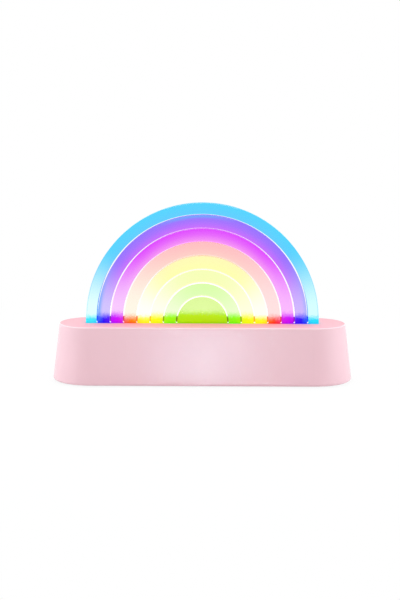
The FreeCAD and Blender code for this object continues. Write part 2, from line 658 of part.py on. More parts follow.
def switch_body():
    """The switch on the board, with room behind its plunger for the whole travel."""
    y = (SWITCH_Y - SWITCH_DEPTH, SWITCH_Y)
    case = block(about(BUTTON_X, SWITCH_SIZE), y, about(Z_BUTTON, SWITCH_SIZE))
    bore_end = SWITCH_Y - PLUNGER_SUNK - BUTTON_TRAVEL - PART_GAP
    return case.cut(rearward(PLUNGER_RADIUS + PLUNGER_GAP, BUTTON_X, Z_BUTTON, bore_end, SWITCH_Y + PAST))


# Charging inlet

def usb_socket():
    """The metal sleeve of the inlet, closed at its inner end."""
    back = USB_MOUTH_Y - USB_DEPTH
    sleeve = rear_block(USB_WIDTH, USB_HEIGHT, USB_ROUND, back, USB_MOUTH_Y)
    width = USB_WIDTH - 2 * USB_METAL
    height = USB_HEIGHT - 2 * USB_METAL
    hollow = rear_block(width, height, USB_ROUND - USB_METAL, back + USB_BACK, USB_MOUTH_Y + PAST)
    return sleeve.cut(hollow)


def usb_tongue():
    back = USB_MOUTH_Y - USB_DEPTH + USB_BACK
    return block(about(USB_X, TONGUE_WIDTH), (back, back + TONGUE_REACH), about(Z_USB, TONGUE_THICKNESS))


def charge_light_pipe():
    """A clear rod through the wall that shows the charging lamp."""
    end = outer_radius(Z_LIGHT) + LIGHT_PROUD
    rod = rearward(LIGHT_RADIUS, LIGHT_X, Z_LIGHT, BOARD_REAR + PART_GAP, end)
    return rod.makeFillet(LIGHT_EDGE_ROUND, [e for e in rod.Edges if abs(e.CenterOfMass.y - end) < SAME])


def charge_led():
    y = (BOARD_REAR - CHARGE_LED_DEPTH, BOARD_REAR)
    return block(about(LIGHT_X, CHARGE_LED_LENGTH), y, (Z_BOARD_TOP, Z_BOARD_TOP + CHARGE_LED_HEIGHT))


# Battery

def battery_pad():
    """The adhesive pad that holds the cell in its tray."""
    return block((CELL_RIGHT - CELL_LENGTH, CELL_RIGHT), about(0, CELL_DEPTH), (Z_COVER, Z_CELL))


def battery_cell():
    x = (CELL_RIGHT - CELL_LENGTH, CELL_RIGHT)
    return rounded_block(x, about(0, CELL_DEPTH), (Z_CELL, Z_CELL + CELL_HEIGHT), X_AXIS, CELL_ROUND)


def battery_socket():
    x = (CELL_SOCKET_LEFT, CELL_SOCKET_LEFT + CELL_SOCKET_LENGTH)
    return block(x, about(CELL_SOCKET_Y, CELL_SOCKET_DEPTH), (Z_BOARD_TOP, Z_BOARD_TOP + CELL_SOCKET_HEIGHT))


def battery_lead(side):
    """One lead from the end of the cell to its socket on the board."""
    y = CELL_SOCKET_Y + side * CELL_LEAD_PITCH / 2
    low = Z_CELL + CELL_HEIGHT - CELL_LEAD_DROP
    high = Z_BOARD_TOP + CELL_SOCKET_HEIGHT / 2
    start = CELL_RIGHT
    end = CELL_SOCKET_LEFT
    route = [(start, low), (start + CELL_LEAD_RUN, low), (end - CELL_LEAD_RUN, high), (end, high)]
    return lead([Vector(x, y, z) for x, z in route], CELL_LEAD_RADIUS, CELL_LEAD_BEND)


PIECES = {
    "base_shell": base_shell(),
    "bottom_cover": bottom_cover(),
    "cover_screws": cover_screws(),
    "rubber_feet": rubber_feet(),
    "rainbow_panel": rainbow_panel(),
    "panel_carrier": panel_carrier(),
    "carrier_screws": carrier_screws(),
    "led_board": led_board(),
    "led_tape": led_tape(),
    "band_leds": band_leds(),
    "led_socket": led_socket(),
    "led_header": led_header(),
    "led_leads": led_leads(),
    "control_board": control_board(),
    "board_screws": board_screws(),
    "controller_chip": controller_chip(),
    "charger_chip": charger_chip(),
    "board_capacitors": board_capacitors(),
    "power_button": power_button(),
    "switch_plunger": switch_plunger(),
    "switch_body": switch_body(),
    "usb_socket": usb_socket(),
    "usb_tongue": usb_tongue(),
    "charge_light_pipe": charge_light_pipe(),
    "charge_led": charge_led(),
    "battery_pad": battery_pad(),
    "battery_cell": battery_cell(),
    "battery_socket": battery_socket(),
    "battery_lead_positive": battery_lead(1),
    "battery_lead_negative": battery_lead(-1),
}

os.makedirs("parts", exist_ok=True)
for name, shape in PIECES.items():
    if isinstance(shape, list):
        shape = Part.makeCompound(shape)
    shape.exportStep(f"parts/{name}.step")
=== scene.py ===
import json
import math
from collections import namedtuple

import bpy
from mathutils import Matrix, Vector


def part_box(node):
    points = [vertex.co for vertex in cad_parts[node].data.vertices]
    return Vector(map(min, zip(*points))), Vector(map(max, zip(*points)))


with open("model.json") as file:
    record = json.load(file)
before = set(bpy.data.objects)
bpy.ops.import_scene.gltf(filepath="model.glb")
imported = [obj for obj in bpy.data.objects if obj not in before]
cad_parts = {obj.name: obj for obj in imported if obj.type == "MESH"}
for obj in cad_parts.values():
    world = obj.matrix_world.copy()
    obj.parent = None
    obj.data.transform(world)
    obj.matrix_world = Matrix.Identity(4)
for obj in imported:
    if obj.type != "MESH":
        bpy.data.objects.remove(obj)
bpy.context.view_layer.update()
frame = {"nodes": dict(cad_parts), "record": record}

# Looks of the rainbow night light. Metres; X along the base, Y from the front to the rear, Z up.

PANEL_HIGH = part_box("rainbow_panel")[1]
BASE_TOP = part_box("base_shell")[1][2]

# Panel: the sizes that it was cut to, and its arches worked out from the frame
PANEL_SHOULDER = 0.004  # reach of the panel's foot past the arch, at each end
OUTER_BAND = 0.0090  # outer edge of the arch to the middle of the first slot
CORE_RADIUS = 0.0205  # middle of the innermost slot
CORE_RISE = 0.0014  # centre of the innermost slot over the base
SLOT_COUNT = 7
ARCH_RADIUS = PANEL_HIGH[0] - PANEL_SHOULDER
ARCH_Z = PANEL_HIGH[2] - ARCH_RADIUS
FIRST_SLOT = ARCH_RADIUS - OUTER_BAND
SLOT_PITCH = (FIRST_SLOT - CORE_RADIUS) / (SLOT_COUNT - 1)
CENTRE_DROP = (ARCH_Z - BASE_TOP - CORE_RISE) / (FIRST_SLOT - CORE_RADIUS)
BAND_RADII = [ARCH_RADIUS] + [FIRST_SLOT - i * SLOT_PITCH for i in range(SLOT_COUNT)]

# Edges and middles of the arches on the way inward, from zero at the outer rim to one at the centre
EDGE_STEP = 0.002  # from the inner edge of one arch to the outer edge of the next
OUTER_EDGES = [1 - radius / ARCH_RADIUS for radius in BAND_RADII]
INNER_EDGES = [edge - EDGE_STEP for edge in OUTER_EDGES[1:]] + [1.0]
BAND_MIDDLES = [(a + b) / 2 for a, b in zip(OUTER_EDGES, INNER_EDGES)]

# Camera of the photograph
IMAGE_WIDTH = 400  # pixels
FOCAL_PIXELS = 1249.0
SENSOR_WIDTH = 36.0  # millimetres
CAMERA_DISTANCE = 1.0
CAMERA_ELEVATION = math.radians(8.4)
CAMERA_ASIDE = math.radians(0.6)
CAMERA_ROLL = math.radians(0.14)
CLIP_START = 0.01
LOOK_AT = Vector((-0.0019, 0.0, 0.0648))

# Places in the panel: from and to, as heights over the base where nothing else is said
JOINT_SHADE_HEIGHT = (0.0006, 0.0018)  # painted shade: the feet are darkest below, where they go into the base
SLOT_END = (0.0012, 0.0018)  # the slots' walls are white below
WEB_TOP = (0.0050, 0.0056)
LIGHT_END = (-0.004, -0.002)  # no light shows below
LEG_FADE = (0.1, 0.56)  # climb along an arch, over which its leg gives way to its crown
WEB_DEPTH = (0.0025, 0.0035)  # distance from the middle of the sheet, between its webs and its faces
WALL_TURN = (0.3, 0.6)  # how much a face looks to the front or rear, from sawn walls to plain faces
FOOT_UNEVEN = 0.006  # how far the top of a foot's colour wanders

# Painted light along the outer edge of the violet arch: the sky-blue arch's light seen in the violet arch's
# outer wall
BLUE_STRIP = (0.004, 0.045)  # its width on the way inward
LEFT_BLUE = 0.9  # share of it in the left leg
RIGHT_BLUE = 0.4
BLUE_ASIDE = 0.006  # left of the middle, where it shows over the crown
BLUE_SPAN = (0.008, 0.036)  # reach from there to each side

# Shares of colour, tint and own light in the panel
BLEED = (0.2, 0.15)  # colour of the outer and the inner neighbour along a foot's edges
MIDDLE_SHARE = 0.35  # colour of the crown's inner edge in the middle of an arch
JOINT_SHADE_DEPTH = 0.5  # how far painted shade darkens the feet where they go into the base
TINT_SHARE = 0.70  # colour that tints what shows through
TINT_LOSS = 0.012  # taken off that tint
FOOT_BODY = 0.75  # how solid the feet look
FROST = 0.85  # how solid the sawn walls look
WEB_SHADE_COVER = 0.85  # painted shade of a web on the walls beside it
BODY_SHINE = 0.2  # own light of the arches
FOOT_SHINE = 0.34
FADE_SHINE = 0.3  # more light where a foot's colour fades
LINE_SHINE = 0.25  # own light of the slots' walls
WEB_SHINE = 0.55
FACE_ROUGHNESS = 0.02
FROST_ROUGHNESS = 0.5
PANEL_SPECULAR = 0.08
ACRYLIC_IOR = 1.49


# Colours

def srgb(red, green, blue):
    """The linear colour of a screen colour given from 0 to 255."""
    def linear(value):
        value /= 255
        return value / 12.92 if value <= 0.04045 else ((value + 0.055) / 1.055) ** 2.4
    return (linear(red), linear(green), linear(blue), 1.0)


def shaded(colour, amount):
    """A colour made lighter or darker by a share."""
    return tuple(min(1.0, part * amount) for part in colour[:3]) + (1.0,)


def blend(share, first, second):
    """The first colour with a share of the second."""
    return tuple((1 - share) * a + share * b for a, b in zip(first, second))


def greys(values):
    return [(value, value, value, 1.0) for value in values]


def bled(colours):
    """Colours along the outer edge, the middle and the inner edge of arches that light their neighbours."""
    outer_share, inner_share = BLEED
    outward = colours[:1] + colours[:-1]
    inward = colours[1:] + colours[-1:]
    outer = [blend(outer_share, own, other) for own, other in zip(colours, outward)]
    inner = [blend(inner_share, own, other) for own, other in zip(colours, inward)]
    return outer, colours, inner


WHITE = (1.0, 1.0, 1.0, 1.0)

# Arches from the outside in: glow of the crown along its outer and inner edge, pale light in the left and
# right leg, deep colour at the left and right foot, heights over the base where the foot's colour starts
# to fade and has faded, and how soon along the arch a leg takes the crown's colour
Arch = namedtuple("Arch", "crown legs feet foot_fade crown_soon")
SKY_BLUE = Arch(
    crown=(srgb(80, 210, 253), srgb(96, 202, 252)),
    legs=(srgb(224, 252, 253), srgb(211, 250, 252)),
    feet=(srgb(72, 240, 252), srgb(48, 230, 254)),
    foot_fade=(0.0028, 0.0068),
    crown_soon=0.84,
)
VIOLET = Arch(
    crown=(srgb(144, 114, 251), srgb(200, 108, 252)),
    legs=(srgb(208, 194, 254), srgb(205, 181, 254)),
    feet=(srgb(56, 22, 250), srgb(48, 12, 252)),
    foot_fade=(0.0032, 0.0092),
    crown_soon=0.85,
)
MAGENTA = Arch(
    crown=(srgb(218, 54, 250), srgb(242, 150, 240)),
    legs=(srgb(243, 198, 252), srgb(245, 182, 252)),
    feet=(srgb(211, 0, 252), srgb(212, 2, 249)),
    foot_fade=(0.0040, 0.0104),
    crown_soon=0.68,
)
PEACH = Arch(
    crown=(srgb(252, 186, 190), srgb(254, 205, 196)),
    legs=(srgb(254, 242, 226), srgb(254, 221, 221)),
    feet=(srgb(252, 136, 22), srgb(252, 76, 48)),
    foot_fade=(0.0018, 0.0082),
    crown_soon=0.5,
)
YELLOW = Arch(
    crown=(srgb(250, 244, 180), srgb(254, 250, 173)),
    legs=(srgb(254, 254, 245), srgb(254, 254, 240)),
    feet=(srgb(252, 254, 62), srgb(252, 254, 46)),
    foot_fade=(0.0026, 0.0070),
    crown_soon=0.62,
)
LEMON = Arch(
    crown=(srgb(240, 252, 181), srgb(243, 253, 180)),
    legs=(srgb(252, 253, 236), srgb(253, 254, 219)),
    feet=(srgb(248, 254, 34), srgb(244, 254, 26)),
    foot_fade=(0.0034, 0.0098),
    crown_soon=0.5,
)
LIGHT_GREEN = Arch(
    crown=(srgb(212, 253, 160), srgb(216, 254, 174)),
    legs=(srgb(238, 253, 213), srgb(233, 253, 203)),
    feet=(srgb(160, 253, 0), srgb(146, 253, 0)),
    foot_fade=(0.0042, 0.0094),
    crown_soon=0.42,
)
LIME = Arch(
    crown=(srgb(218, 244, 154), srgb(228, 250, 170)),
    legs=(srgb(192, 236, 4), srgb(194, 235, 4)),
    feet=(srgb(188, 232, 0), srgb(188, 231, 0)),
    foot_fade=(0.0060, 0.0108),
    crown_soon=1.6,
)
ARCHES = [SKY_BLUE, VIOLET, MAGENTA, PEACH, YELLOW, LEMON, LIGHT_GREEN, LIME]
PAINTED_BLUE_LIGHT = srgb(104, 170, 252)  # painted light: the sky-blue arch's light seen in the violet arch's outer wall

# Slots from the outside in: light caught by the walls at the crown and in the legs, and colour of the web, a
# painted shade whose deep, dark colour stands in for the shaded base top seen through the slot's foot
Slot = namedtuple("Slot", "crown legs web")
SLOTS = [
    Slot(crown=srgb(188, 172, 244), legs=srgb(116, 184, 252), web=srgb(30, 72, 210)),
    Slot(crown=srgb(228, 156, 250), legs=WHITE, web=srgb(124, 10, 150)),
    Slot(crown=srgb(250, 206, 206), legs=WHITE, web=srgb(184, 24, 48)),
    Slot(crown=srgb(252, 226, 206), legs=WHITE, web=srgb(232, 84, 6)),
    Slot(crown=srgb(255, 248, 236), legs=WHITE, web=srgb(210, 150, 0)),
    Slot(crown=srgb(252, 255, 246), legs=WHITE, web=srgb(124, 142, 0)),
    Slot(crown=srgb(252, 255, 248), legs=WHITE, web=srgb(100, 104, 0)),
]

# Pinks of the base, where they change, and the light that the panel throws on its top. The flat top's pink
# and the pink round the panel are painted light from the panel, and the rim's pale pink is a painted
# highlight
SHELL_PINK = srgb(226, 178, 187)
# Painted light: the flat top's brighter, redder pink, where the panel's glow falls on it
LIT_TOP_PINK = srgb(245, 179, 188)
# Painted light: a pool of the panel's light on the top round its foot
PANEL_LIGHT_PINK = srgb(246, 166, 172)
# Painted highlight: the pale pink along the rounded rim between the top and the walls
RIM_HIGHLIGHT_PINK = srgb(250, 228, 232)
BUTTON_PINK = srgb(232, 172, 186)
# Painted light: the top round the panel glows, though the shell is no lamp
PANEL_LIGHT_GLOW = (0.06, 0.0, 0.0)
TOP_TURN = (0.8, 0.97)  # how much a face looks up, from the rim to the flat top
RIM_TURN = (0.2, 0.45)  # the same, from the walls to the rim
# Painted highlight: how much of the pale pink shows along the rim
RIM_HIGHLIGHT_SHARE = 0.5
GLOW_ASIDE = (0.006, 0.03)  # reach of the panel's light over the top, to the front and rear
GLOW_ALONG = (0.05, 0.092)

# Grains about one half: features per metre, levels of detail, and strength of the finer levels
GRAIN_MIDDLE = 0.5
MOTTLE = (60.0, 3.0, 0.5)
FINE_GRAIN = (2600.0, 1.0, 0.5)
DRAWN_LINES = (1800.0, 4.0, 0.7)
MASK_CLOUDS = (400.0, 2.0, 0.5)
ROD_HAZE = (1500.0, 2.0, 0.5)
RUBBER_TOOTH = (3200.0, 3.0, 0.5)
FOOT_SPECKLE = (900.0, 2.0, 0.7)

# Finishes: darkest and lightest shade of a colour, height of the grain, roughness and gloss
MOULD_SHADES = (0.97, 1.03)
MOULD_GRAIN = 0.00003
MOULD_SWING = 0.04  # of the roughness to each side
MOULD_SPECULAR = 0.12
SHELL_SHADES = (0.98, 1.02)
SHELL_GRAIN = 0.00002
SHELL_ROUGHNESS = (0.22, 0.28)
SHELL_SPECULAR = 0.5
TOP_ROUGHER = 0.5  # added on the flat top
METAL_SHADES = (0.88, 1.08)
METAL_GRAIN = 0.00002
METAL_SWING = 0.15
BOARD_SHADES = (0.92, 1.05)
BOARD_ROUGHNESS = 0.35
TRACK_HEIGHT = 0.00003
TRACK_SCALE = 160.0
TRACK_WIDTH = 0.03
TRACK_SHARE = 0.6
RUBBER_SHADES = (0.93, 1.05)
RUBBER_GRAIN = 0.00005
RUBBER_ROUGHNESS = 0.8
ROD_DARK = srgb(226, 246, 244)
ROD_LIGHT = srgb(244, 252, 250)
ROD_ROUGHNESS = (0.08, 0.18)
ROD_CLEAR = 0.9

# Stage
FLOOR_SIZE = 12.0
FLOOR_COLOUR = (0.85, 0.85, 0.85, 1.0)
FLOOR_ROUGHNESS = 0.9
FLOOR_WHITE = 0.9  # share of plain white that the viewer sees round the object, where its shadow falls
SHADOW_REACH = (0.12, 0.45)
AMBIENT = 0.49
LAMP_WHITE = (1.0, 1.0, 1.0)
COOL_WHITE = (0.75, 1.0, 1.0)
COOL_STRIP = (0.62, 0.98, 1.0)
FULL_SPREAD = 180.0  # degrees


# Shader nodes

class Signal:
    """A value or colour that varies over a surface. Arithmetic on it adds the shader nodes for it."""

    def __init__(self, look, socket):
        self.look = look
        self.socket = socket

    def __add__(self, other):
        return self.look.math("ADD", self, other)

    def __sub__(self, other):
        return self.look.math("SUBTRACT", self, other)

    def __rsub__(self, other):
        return self.look.math("SUBTRACT", other, self)

    def __mul__(self, other):
        return self.look.math("MULTIPLY", self, other)

    def __truediv__(self, other):
        return self.look.math("DIVIDE", self, other)

    def __abs__(self):
        return self.look.math("ABSOLUTE", self)

    def at_least(self, low):
        return self.look.math("MAXIMUM", self, low)

    def over(self, level):
        """One where the value is over a level, and zero elsewhere."""
        return self.look.math("GREATER_THAN", self, level)

    def root(self):
        return self.look.math("SQRT", self)

    def between(self, low, high):
        """Low where this value is zero, high where it is one, and in proportion between."""
        return self * (high - low) + low

    def rise(self, low, high):
        """Zero below low, one above high, with a soft step between."""
        node = self.look.add("ShaderNodeMapRange", self, low, high, 0.0, 1.0,
                             interpolation_type="SMOOTHSTEP")
        return Signal(self.look, node.outputs[0])

    def fall(self, low, high):
        """One below low, zero above high, with a soft step between."""
        return 1.0 - self.rise(low, high)


class Shading:
    """One node material, with short calls that add a node and return its output."""

    def __init__(self, name):
        self.material = bpy.data.materials.new(name)
        self.material.use_nodes = True
        self.tree = self.material.node_tree
        self.principled = self.tree.nodes["Principled BSDF"]

    def feed(self, socket, value):
        """Links a signal to an input, or sets the input to a plain value."""
        if isinstance(value, Signal):
            self.tree.links.new(value.socket, socket)
        else:
            socket.default_value = value

    def set(self, **values):
        """Sets inputs of the Principled shader, with underscores for spaces."""
        for name, value in values.items():
            self.feed(self.principled.inputs[name.replace("_", " ")], value)

    def add(self, kind, *values, **settings):
        """Adds a node, with its settings and its inputs in their order."""
        node = self.tree.nodes.new(kind)
        for name, value in settings.items():
            setattr(node, name, value)
        for socket, value in zip(node.inputs, values):
            self.feed(socket, value)
        return node

    def output(self, kind, name):
        """One named output of a new node."""
        return Signal(self, self.add(kind).outputs[name])

    def math(self, operation, *values):
        return Signal(self, self.add("ShaderNodeMath", *values, operation=operation).outputs[0])

    def colour_math(self, operation, *values):
        return Signal(self, self.add("ShaderNodeVectorMath", *values, operation=operation).outputs[0])

    def scaled(self, colour, amount):
        """A colour times a value."""
        node = self.add("ShaderNodeVectorMath", colour, operation="SCALE")
        self.feed(node.inputs["Scale"], amount)
        return Signal(self, node.outputs[0])

    def mix(self, factor, first, second):
        """The first colour where the factor is zero, and the second where it is one."""
        node = self.add("ShaderNodeMix", data_type="RGBA")
        self.feed(node.inputs["Factor"], factor)
        colours = [socket for socket in node.inputs if socket.type == "RGBA"]
        self.feed(colours[0], first)
        self.feed(colours[1], second)
        return Signal(self, next(socket for socket in node.outputs if socket.type == "RGBA"))

    def varied(self, grain, colour, shades):
        """A colour that a grain changes between a darker and a lighter shade."""
        darkest, lightest = shades
        return self.mix(grain, shaded(colour, darkest), shaded(colour, lightest))

    def ramp(self, factor, stops, interpolation="LINEAR"):
        """A colour looked up along (place, colour) stops."""
        stops = list(stops)
        node = self.add("ShaderNodeValToRGB", factor)
        ramp = node.color_ramp
        ramp.interpolation = interpolation
        for place, colour in stops[2:]:
            ramp.elements.new(place)
        for element, (place, colour) in zip(ramp.elements, stops):
            element.position = place
            element.color = colour
        return Signal(self, node.outputs[0])

    def parts(self, vector):
        """X, Y and Z of a vector."""
        return [Signal(self, socket) for socket in self.add("ShaderNodeSeparateXYZ", vector).outputs]

    def place(self):
        """X, Y and Z of the piece's own coordinates."""
        return self.parts(self.output("ShaderNodeTexCoord", "Object"))

    def normal(self):
        """X, Y and Z of the way that the surface faces."""
        return self.parts(self.output("ShaderNodeNewGeometry", "Normal"))

    def noise(self, scale, detail, roughness):
        """Cloudy grain over the piece."""
        node = self.add("ShaderNodeTexNoise")
        self.feed(node.inputs["Vector"], self.output("ShaderNodeTexCoord", "Object"))
        self.feed(node.inputs["Scale"], scale)
        self.feed(node.inputs["Detail"], detail)
        self.feed(node.inputs["Roughness"], roughness)
        return Signal(self, node.outputs["Fac"])

    def bump(self, height, distance):
        """Lets a grain stand up from the surface by a distance."""
        node = self.add("ShaderNodeBump")
        self.feed(node.inputs["Distance"], distance)
        self.feed(node.inputs["Height"], height)
        self.set(Normal=Signal(self, node.outputs[0]))


# Materials of the base and of the pieces in it

def moulded_plastic(name, colour, roughness):
    """Moulded plastic: a faint mottle, a fine grain and slightly uneven gloss."""
    look = Shading(name)
    grain = look.noise(*FINE_GRAIN)
    look.set(Base_Color=look.varied(look.noise(*MOTTLE), colour, MOULD_SHADES))
    look.set(Roughness=grain.between(roughness - MOULD_SWING, roughness + MOULD_SWING))
    look.set(Specular_IOR_Level=MOULD_SPECULAR)
    look.bump(grain, MOULD_GRAIN)
    return look.material


def shell_plastic():
    """The base's satin pink: more matt on top, with painted light from the lit panel on the top and round
    the panel's foot, and a painted highlight along its rim.
    """
    look = Shading("shell_pink")
    x, y, z = look.place()
    up = look.normal()[2]
    top = up.rise(*TOP_TURN)
    rim_highlight = up.rise(*RIM_TURN) - top
    # Painted light: where the panel's light pools on the top, near its foot
    panel_light_pool = top * abs(y).fall(*GLOW_ASIDE) * abs(x).fall(*GLOW_ALONG)
    grain = look.noise(*FINE_GRAIN)
    colour = look.varied(look.noise(*MOTTLE), SHELL_PINK, SHELL_SHADES)
    # Painted light: the flat top takes a brighter, redder pink for the panel's glow falling on it
    colour = look.mix(top, colour, LIT_TOP_PINK)
    # Painted light: the pool of the panel's light, as a warmer pink
    colour = look.mix(panel_light_pool, colour, PANEL_LIGHT_PINK)
    # Painted highlight: a paler pink along the rounded rim
    colour = look.mix(rim_highlight * RIM_HIGHLIGHT_SHARE, colour, RIM_HIGHLIGHT_PINK)
    look.set(Base_Color=colour, Specular_IOR_Level=SHELL_SPECULAR)
    look.set(Roughness=top * TOP_ROUGHER + grain.between(*SHELL_ROUGHNESS))
    # Painted light: the shell glows faintly where the panel's light pools on it
    look.set(Emission_Color=look.scaled(PANEL_LIGHT_GLOW, panel_light_pool), Emission_Strength=1.0)
    look.bump(grain, SHELL_GRAIN)
    return look.material


def brushed_metal(name, colour, roughness):
    """Plated metal with fine drawn lines."""
    look = Shading(name)
    lines = look.noise(*DRAWN_LINES)
    look.set(Base_Color=look.varied(lines, colour, METAL_SHADES), Metallic=1.0)
    look.set(Roughness=lines.between(roughness, roughness + METAL_SWING))
    look.bump(lines, METAL_GRAIN)
    return look.material


def circuit_board(name, colour, track_colour):
    """Solder mask with faint tracks."""
    look = Shading(name)
    bricks = look.add("ShaderNodeTexBrick", look.output("ShaderNodeTexCoord", "Object"))
    look.feed(bricks.inputs["Scale"], TRACK_SCALE)
    look.feed(bricks.inputs["Mortar Size"], TRACK_WIDTH)
    tracks = Signal(look, bricks.outputs["Fac"])
    mask = look.varied(look.noise(*MASK_CLOUDS), colour, BOARD_SHADES)
    look.set(Base_Color=look.mix(tracks * TRACK_SHARE, mask, track_colour), Roughness=BOARD_ROUGHNESS)
    look.bump(tracks, TRACK_HEIGHT)
    return look.material


def clear_acrylic():
    """Small clear rod with a faint haze."""
    look = Shading("clear_acrylic")
    haze = look.noise(*ROD_HAZE)
    look.set(Base_Color=look.mix(haze, ROD_DARK, ROD_LIGHT), Transmission_Weight=ROD_CLEAR)
    look.set(Roughness=haze.between(*ROD_ROUGHNESS), IOR=ACRYLIC_IOR)
    return look.material


def soft_rubber(name, colour):
    """Rubber with a fine matt tooth."""
    look = Shading(name)
    tooth = look.noise(*RUBBER_TOOTH)
    look.set(Base_Color=look.varied(tooth, colour, RUBBER_SHADES), Roughness=RUBBER_ROUGHNESS)
    look.bump(tooth, RUBBER_GRAIN)
    return look.material


# Material of the lit panel

def arch_radius(x, z):
    """Distance from the arch's centre, which comes down towards the innermost slot. The legs are upright."""
    rise = (z - ARCH_Z).at_least(0.0)
    first = (x * x + rise * rise).root()
    above = ((FIRST_SLOT - first) * CENTRE_DROP + (z - ARCH_Z)).at_least(0.0)
    return (x * x + above * above).root()


class PanelPlace:
    """Where a point of the panel lies: across the arches, along them and over the base."""

    def __init__(self, look):
        self.look = look
        self.x, self.y, z = look.place()
        self.height = z - BASE_TOP
        self.on_right = self.x.over(0.0)
        radius = arch_radius(self.x, z)
        self.inward = 1.0 - radius / ARCH_RADIUS
        climb = self.height / radius.at_least(CORE_RADIUS)
        self.in_crown = (climb * self.by_arch(greys(arch.crown_soon for arch in ARCHES))).rise(*LEG_FADE)
        uneven = (look.noise(*FOOT_SPECKLE) - GRAIN_MIDDLE) * FOOT_UNEVEN + self.height
        starts, ends = zip(*(arch.foot_fade for arch in ARCHES))
        self.in_foot = uneven.fall(self.by_arch(greys(starts)), self.by_arch(greys(ends)))
        self.in_web = self.height.fall(*WEB_TOP)

    def by_arch(self, colours):
        """The colour of the arch that the point lies in."""
        return self.look.ramp(self.inward, zip(OUTER_EDGES, colours), "CONSTANT")

    def by_slot(self, colours):
        """The colour of the slot that the point is nearest to."""
        return self.look.ramp(self.inward, zip([0.0] + BAND_MIDDLES[1:], colours), "CONSTANT")

    def graded(self, outer_colours, middle_colours, inner_colours):
        """Colours that change across each arch, from its outer edge over its middle to its inner edge."""
        stops = list(zip(OUTER_EDGES, outer_colours))
        stops += zip(BAND_MIDDLES, middle_colours)
        stops += zip(INNER_EDGES, inner_colours)
        return self.look.ramp(self.inward, sorted(stops))


def painted_blue_share(at):
    """Share of painted blue light along the outer edge of the violet arch, in its legs and at the top of its
    crown: the sky-blue arch's light seen in its wall.
    """
    strip = (at.inward - OUTER_EDGES[1]).fall(*BLUE_STRIP) * at.inward.over(OUTER_EDGES[1] - EDGE_STEP)
    in_legs = (1.0 - at.in_crown) * at.on_right.between(LEFT_BLUE, RIGHT_BLUE)
    overhead = abs(at.x + BLUE_ASIDE).fall(*BLUE_SPAN) * at.in_crown
    return strip * in_legs.at_least(overhead)


def arch_colour(look, at):
    """Colour of the light in the arches: deep at the feet, pale in the legs and full in the crown."""
    left_feet, right_feet = zip(*(arch.feet for arch in ARCHES))
    foot = look.mix(at.on_right, at.graded(*bled(left_feet)), at.graded(*bled(right_feet)))
    # Painted shade: the feet darken where they go into the base's slot
    joint_shade = at.height.fall(*JOINT_SHADE_HEIGHT) * JOINT_SHADE_DEPTH
    foot = look.mix(joint_shade, foot, look.colour_math("MULTIPLY", foot, foot))
    left_legs, right_legs = zip(*(arch.legs for arch in ARCHES))
    leg = look.mix(at.on_right, at.by_arch(left_legs), at.by_arch(right_legs))
    outer_glows, inner_glows = zip(*(arch.crown for arch in ARCHES))
    middle_glows = [blend(MIDDLE_SHARE, a, b) for a, b in zip(outer_glows, inner_glows)]
    crown = at.graded(outer_glows, middle_glows, inner_glows)
    body = look.mix(at.in_crown, leg, crown)
    # Painted light: the sky-blue arch's light seen in the violet arch's outer wall
    body = look.mix(painted_blue_share(at), body, PAINTED_BLUE_LIGHT)
    return look.mix(at.in_foot, body, foot)


def line_colour(look, at, web_shade):
    """Colour of the light in the slots' walls, which take the webs' painted shade beside them."""
    crown_lines = at.by_slot([slot.crown for slot in SLOTS])
    leg_lines = at.by_slot([slot.legs for slot in SLOTS])
    line = look.mix(at.in_crown, leg_lines, crown_lines)
    # Painted shade: the walls beside a web take its dark colour
    line = look.mix(at.in_web * WEB_SHADE_COVER, line, web_shade)
    return look.mix(at.height.fall(*SLOT_END), line, WHITE)


def lit_acrylic():
    """Clear sheet lit from its foot: each arch tints what shows through it, and glows most at its foot.

    The slots' sawn walls are frosted and catch the light, and the webs in their feet carry painted shade in
    deep, dark colours.
    """
    look = Shading("lit_acrylic")
    at = PanelPlace(look)
    colour = arch_colour(look, at)
    # Painted shade: the webs' deep, dark colours stand in for the shaded base top seen through the slots'
    # feet
    web_shade = at.by_slot([slot.web for slot in SLOTS])
    line = line_colour(look, at, web_shade)

    wall = abs(look.normal()[1]).fall(*WALL_TURN)
    frosted = wall * (1.0 - look.output("ShaderNodeNewGeometry", "Backfacing"))
    in_slot = frosted * at.inward.over(BAND_MIDDLES[0])
    web = (1.0 - wall) * abs(at.y).fall(*WEB_DEPTH)
    cloudy = frosted + web

    tint = look.colour_math("MULTIPLY_ADD", colour, (TINT_SHARE,) * 3, (-TINT_LOSS,) * 3)
    tint = look.colour_math("MAXIMUM", tint, (0.0,) * 3)
    tint = look.mix(in_slot, tint, line)
    # Painted shade on the webs
    look.set(Base_Color=look.mix(web, tint, web_shade))
    look.set(IOR=ACRYLIC_IOR, Specular_IOR_Level=PANEL_SPECULAR)
    look.set(Transmission_Weight=1.0 - (cloudy * FROST).at_least(at.in_foot * FOOT_BODY))
    look.set(Roughness=cloudy.between(FACE_ROUGHNESS, FROST_ROUGHNESS))

    shine = at.in_foot.between(BODY_SHINE, FOOT_SHINE) + at.in_foot * (1.0 - at.in_foot) * FADE_SHINE
    line_glow = look.scaled(line, at.in_web.between(LINE_SHINE, WEB_SHINE))
    glow = look.mix(in_slot, look.scaled(colour, shine), line_glow)
    # The webs glow faintly in their painted shade colours
    glow = look.mix(web, glow, look.scaled(web_shade, WEB_SHINE))
    look.set(Emission_Color=look.scaled(glow, at.height.rise(*LIGHT_END)), Emission_Strength=1.0)
    return look.material


